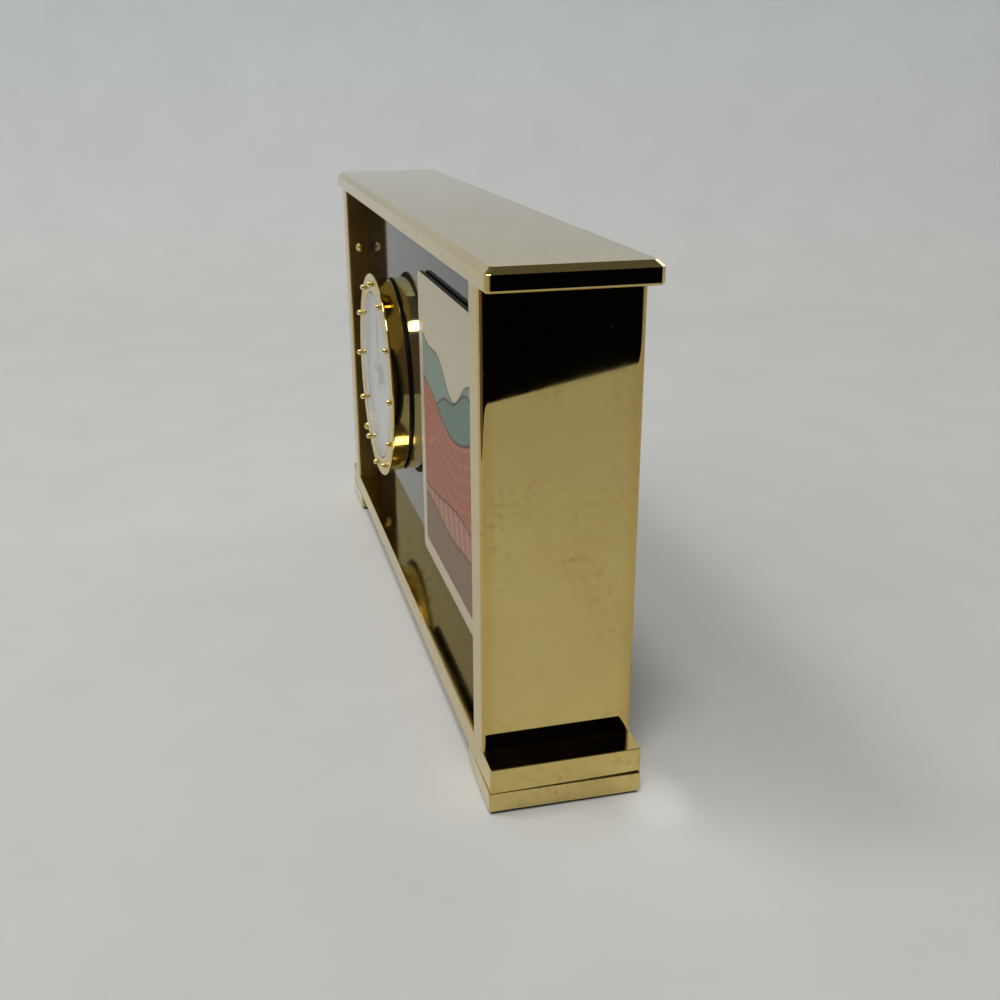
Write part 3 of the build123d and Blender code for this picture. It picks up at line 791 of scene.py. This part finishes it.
def paper():
    """Pale paper, a little cooler where it stands up behind the clock; painted light high up, painted
    shade near the camera.
    """
    floor, painted_shade_near_camera = (0.62, 0.62, 0.59), (0.52, 0.52, 0.495)
    upright, painted_light_high_up = (0.62, 0.64, 0.655), (0.73, 0.755, 0.765)
    stock = Finish("pale_paper", floor, 0.7)
    place = stock.axes(stock.place)
    sheet = stock.mix(stock.spread(place["Z"], 0.005, 0.12), floor, upright)
    # Painted light: the paper is made paler high up on the sweep, where less light reaches it.
    sheet = stock.mix(stock.spread(place["Z"], 0.07, 0.17), sheet, painted_light_high_up)
    tone = stock.spread(stock.noise(40, 3.0), 0.3, 0.7, 0.96, 1.0)
    sheet = stock.mix(1.0, sheet, tone, "MULTIPLY")
    # Painted shade: the paper darkens towards the camera.
    stock.color(stock.mix(stock.spread(place["X"], 0.13, 0.26), sheet, painted_shade_near_camera))
    return stock.material


def make_stage():
    """Paper sweep: a floor that ends behind the camera and curves up behind the clock."""
    curve_steps, curve_radius, wall_height, sweep_turn = 12, 0.14, 0.9, -14.7
    corners = {
        (-1, -1): (-0.30, -0.9),
        (-1, 1): (-0.30, 0.9),
        (1, -1): (-0.0037, -0.906),
        (1, 1): (0.476, 0.894),
    }
    deselect()
    bpy.ops.mesh.primitive_plane_add(size=1, location=(0, 0, 0))
    sweep = name_active("paper_sweep", paper())
    for vertex in sweep.data.vertices:
        key = (1 if vertex.co.x > 0 else -1, 1 if vertex.co.y > 0 else -1)
        vertex.co = (*corners[key], 0)
    pick_edges(sweep, lambda a, b: max(a.x, b.x) < -0.29)
    for index in range(curve_steps):
        start, stop = (pi / 2 * k / curve_steps for k in (index, index + 1))
        back, up = sin(stop) - sin(start), cos(start) - cos(stop)
        extrude_edges((-curve_radius * back, 0, curve_radius * up))
    extrude_edges((0, 0, wall_height))
    leave_edit()
    sweep.data.transform(Matrix.Rotation(radians(sweep_turn), 4, "Z"))
    smooth(sweep, 60)


def make_world():
    """Soft light from the front; in reflections a dim ceiling and a dark side; a pale room to look at."""
    world = bpy.data.worlds.new("soft_room")
    bpy.context.scene.world = world
    world.use_nodes = True
    room = Graph(world.node_tree)
    room.tree.nodes.clear()
    place = room.axes(room.node("ShaderNodeTexCoord").outputs["Generated"])

    def ranged(axis, low, high):
        return room.spread(place[axis], low, high, interpolation_type="SMOOTHSTEP")

    dark_side = room.mix(ranged("Y", -0.1, 0.1), (0.15, 0.11, 0.085), (0.001, 0.001, 0.001))
    rear_room = room.mix(ranged("Y", 0.38, 0.56), dark_side, (0.42, 0.42, 0.42))
    walls = room.mix(ranged("X", 0.1, 0.55), (0.52, 0.52, 0.52), rear_room)
    mirrored = room.mix(ranged("Z", 0.65, 0.9), walls, (0.11, 0.11, 0.105))
    lit = room.mix(ranged("Y", -0.9, 0.3), (0.85, 0.85, 0.85), (0.03, 0.03, 0.03))
    path = room.node("ShaderNodeLightPath").outputs
    seen = room.mix(path["Is Glossy Ray"], lit, mirrored)
    seen = room.mix(path["Is Camera Ray"], seen, (0.56, 0.57, 0.575))
    back = room.node("ShaderNodeBackground")
    room.set(back, "Color", seen)
    room.set(room.node("ShaderNodeOutputWorld"), 0, back.outputs[0])


def hang(light, place, target, mirrored):
    """Put a light in its place, aimed at a target; reflections show it only if it is mirrored."""
    holder = bpy.data.objects.new(light.name, light)
    holder.location = place
    holder.rotation_euler = (Vector(target) - Vector(place)).to_track_quat("-Z", "Y").to_euler()
    holder.visible_glossy = mirrored
    bpy.context.scene.collection.objects.link(holder)


def lamp(name, place, target, size, power):
    """Round lamp that the polished pieces mirror."""
    light = bpy.data.lights.new(name, "AREA")
    light.shape = "DISK"
    light.size = size
    light.energy = power
    hang(light, place, target, mirrored=True)


def floor_glow(name, target, spread, power, softness):
    """Light thrown back on the floor by the polished end of the clock."""
    light = bpy.data.lights.new(name, "SPOT")
    light.spot_size = radians(spread)
    light.spot_blend = 1.0
    light.shadow_soft_size = softness
    light.energy = power
    hang(light, (0.40, 0.05, 0.36), target, mirrored=False)


def make_lights():
    low_middle, right_cap_corner = (0, 0, 0.03), (0.075, 0.012, 0.083)
    lamp("ceiling_lamp", (0.430, -0.210, 1.316), low_middle, size=0.3, power=6.5)
    lamp("front_lamp", (-0.232, -0.638, 1.224), low_middle, size=0.3, power=3.3)
    lamp("corner_lamp", (-0.27, 0.379, 0.304), right_cap_corner, size=0.11, power=0.05)
    floor_glow("end_glow", (0.075, 0.012, 0.0), spread=7, power=1.3, softness=0.02)
    floor_glow("corner_glow", (0.0775, 0.0135, 0.0), spread=1.7, power=2.4, softness=0.002)


def make_camera():
    """Camera as fitted to the edges of the clock: right, down and ahead are its own axes."""
    focal_pixels, picture_pixels, sensor = 1143.02, 1000, 36
    camera = bpy.data.cameras.new("photo_camera")
    camera.sensor_width = sensor
    camera.lens = focal_pixels / picture_pixels * sensor
    camera.clip_start = 0.01
    camera.clip_end = 20
    holder = bpy.data.objects.new("photo_camera", camera)
    right = Vector((0.253928, 0.967218, -0.003244))
    down = Vector((0.341538, -0.092802, -0.935275))
    ahead = Vector((-0.904916, 0.236384, -0.353907))
    turn = Matrix((right, -down, -ahead)).transposed().to_4x4()
    holder.matrix_world = Matrix.Translation((0.218323, -0.047991, 0.107922)) @ turn
    bpy.context.scene.collection.objects.link(holder)
    bpy.context.scene.camera = holder


make_stage()
make_world()
make_lights()
make_camera()
bpy.context.scene.view_settings.view_transform = "Standard"
